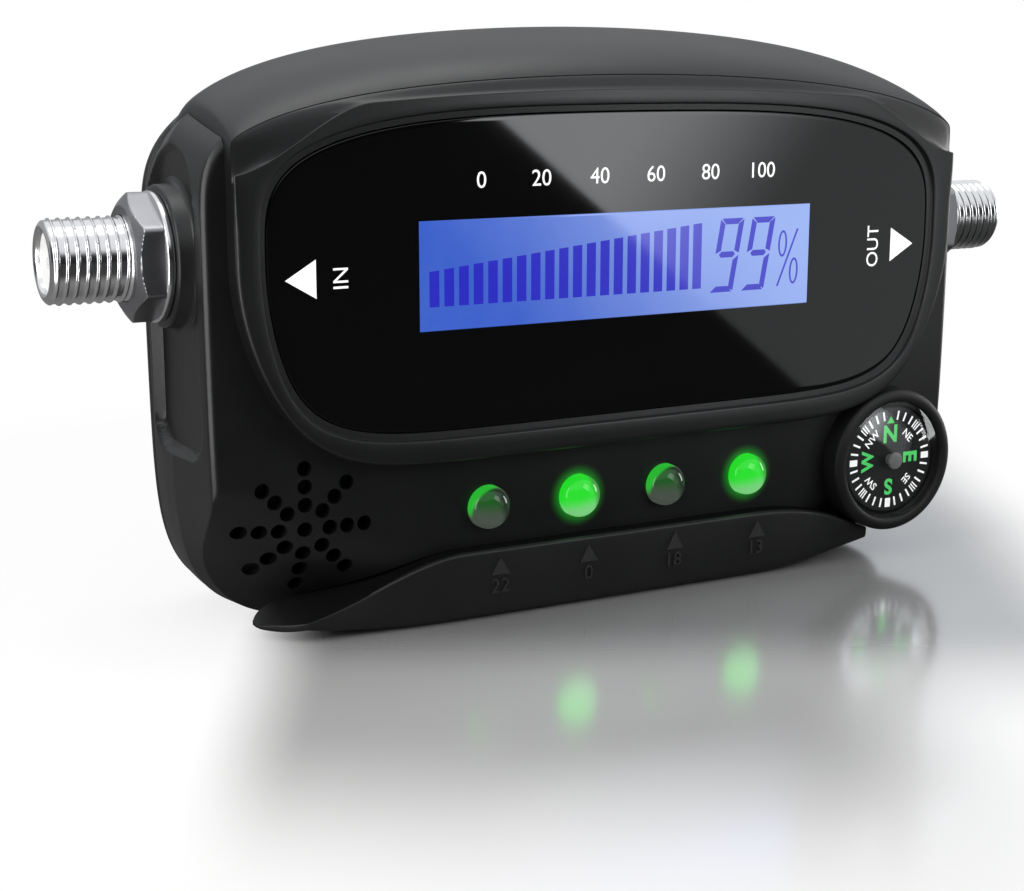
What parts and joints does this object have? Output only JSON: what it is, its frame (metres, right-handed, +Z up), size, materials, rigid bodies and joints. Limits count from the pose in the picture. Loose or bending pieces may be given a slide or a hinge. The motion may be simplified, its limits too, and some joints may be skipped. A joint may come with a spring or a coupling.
{
  "type": "satellite signal meter",
  "caption": "Hand-held in-line signal meter with a cowled black housing, blue display window, lamp row, buzzer grille, swinging compass and threaded coaxial connectors at both ends.",
  "frame": {"origin": "middle of the overall box, on the base", "axes": "+X from the left connector to the right one, +Y from the face to the back, +Z up"},
  "size_m": [0.1312, 0.0296, 0.0686],
  "materials": {
    "body_black": "fine matte grain",
    "cowl_black": "fine matte grain",
    "window_black": "high gloss",
    "lcd_blue": "smooth, lit blue",
    "diffuser_white": "satin",
    "frame_black": "matte",
    "tin": "tinned",
    "board_green": "lacquered",
    "brass": "bright",
    "lamp_clear": "smooth",
    "lamp_green": "smooth, lit",
    "card_black": "matte with printed rose",
    "magnet_grey": "satin",
    "lens_clear": "smooth",
    "nickel": "bright nickel",
    "insulator_white": "smooth",
    "screw_steel": "zinc",
    "cup_black": "satin"
  },
  "bodies": {
    "housing": {"front_shell": "body_black", "rear_shell": "body_black", "face_cowl": "cowl_black", "chin_bar": "body_black", "display_window": "window_black", "lcd_glass": "lcd_blue", "backlight_plate": "diffuser_white", "lcd_frame": "frame_black", "lcd_pins": "tin", "main_board": "board_green", "tuner_shield": "tin", "meter_chip": "frame_black", "buzzer_case": "frame_black", "buzzer_disc": "brass", "lamp_1": "lamp_clear", "lamp_2": "lamp_green", "lamp_3": "lamp_clear", "lamp_4": "lamp_green", "lamp_legs": "tin", "compass_ring": "body_black", "compass_cup": "cup_black", "compass_pivot": "brass", "compass_lens": "lens_clear", "left_connector": "nickel", "right_connector": "nickel", "left_insulator": "insulator_white", "right_insulator": "insulator_white", "left_contact": "brass", "right_contact": "brass", "left_washer": "nickel", "right_washer": "nickel", "left_nut": "nickel", "right_nut": "nickel", "case_screws": "screw_steel"},
    "card": {"compass_card": "card_black", "compass_magnet": "magnet_grey"}
  },
  "joints": [
    {"name": "card_swing", "type": "hinge", "parent": "housing", "child": "card", "pos_m": [0.04095, -0.0119, 0.0132], "axis": [0, 1, 0], "continuous": true}
  ]
}
